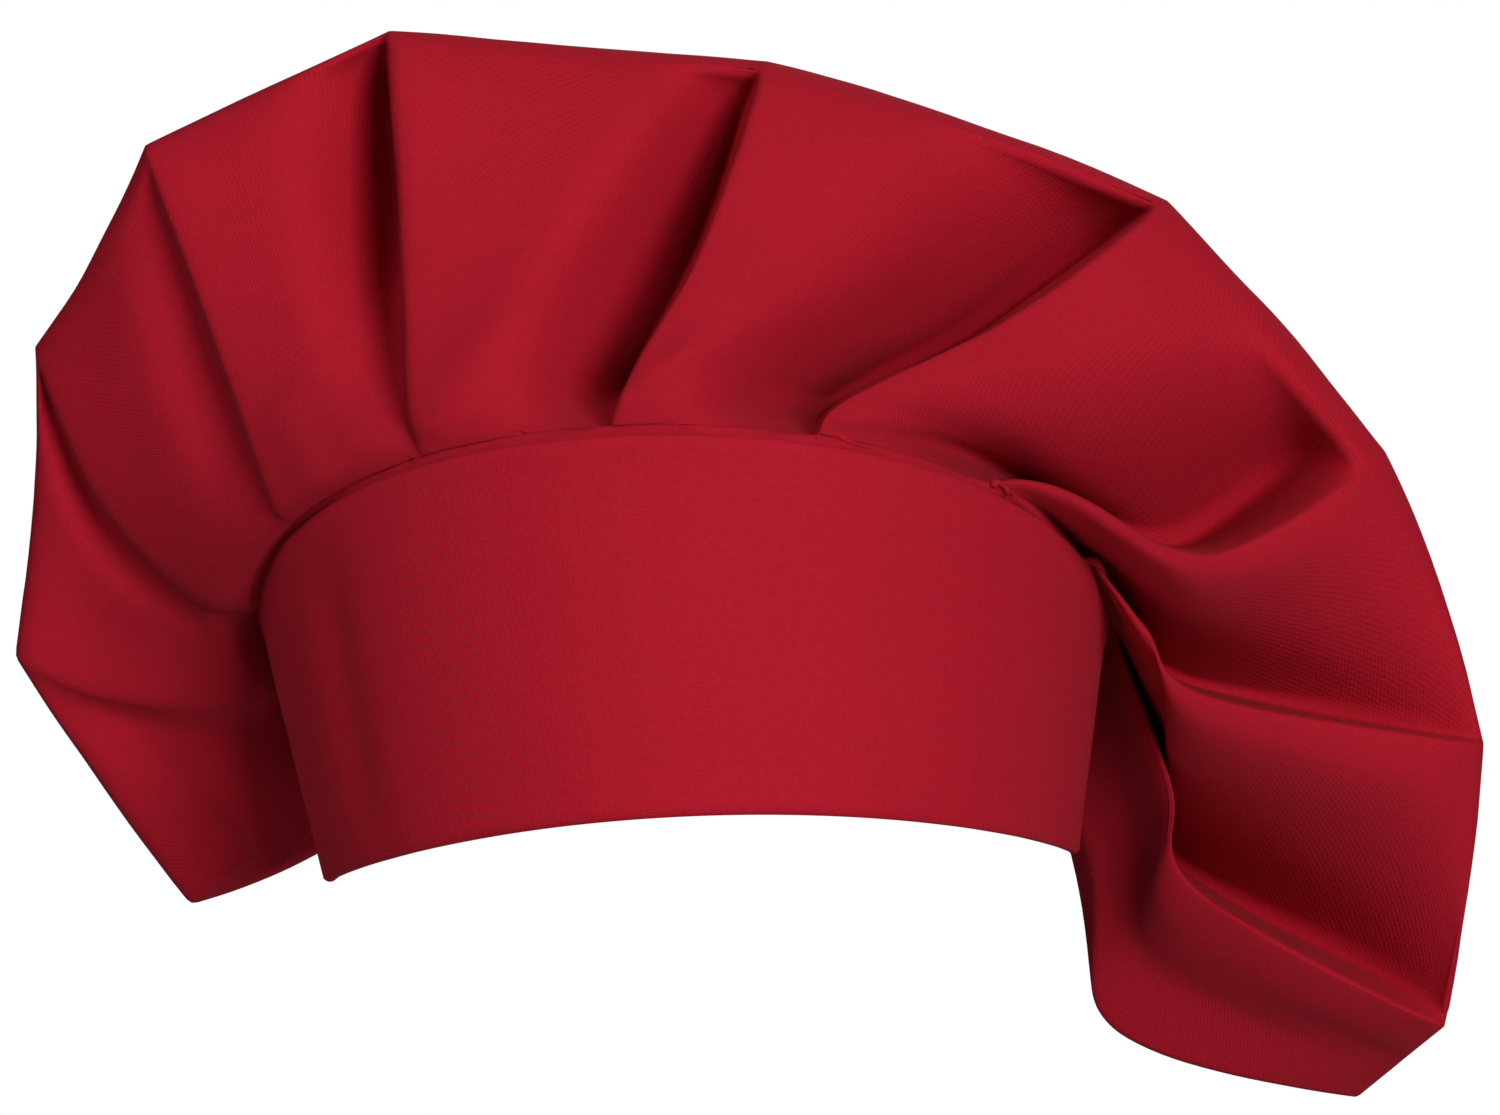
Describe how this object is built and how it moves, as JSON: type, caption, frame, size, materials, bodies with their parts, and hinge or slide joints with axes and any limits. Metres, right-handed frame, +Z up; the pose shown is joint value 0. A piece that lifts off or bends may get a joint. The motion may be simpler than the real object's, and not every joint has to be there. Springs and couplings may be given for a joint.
{
  "type": "chef hat",
  "caption": "Floppy cloth chef hat with an upright oval head band and a full pleated crown that fans up over the front and hangs in a lobe at each side.",
  "frame": {"origin": "centre of the head opening, level with the lower edge of the band at its two sides", "axes": "+Z up, through the crown of the wearer's head; -Y to the front of the hat; +X to the right seen from the front"},
  "size_m": [0.3302, 0.2532, 0.2463],
  "materials": {
    "band_cloth": "matte woven cotton blend, red",
    "crown_cloth": "matte woven cotton blend, red"
  },
  "bodies": {
    "root": {"band": "band_cloth", "crown": "crown_cloth"}
  },
  "joints": []
}
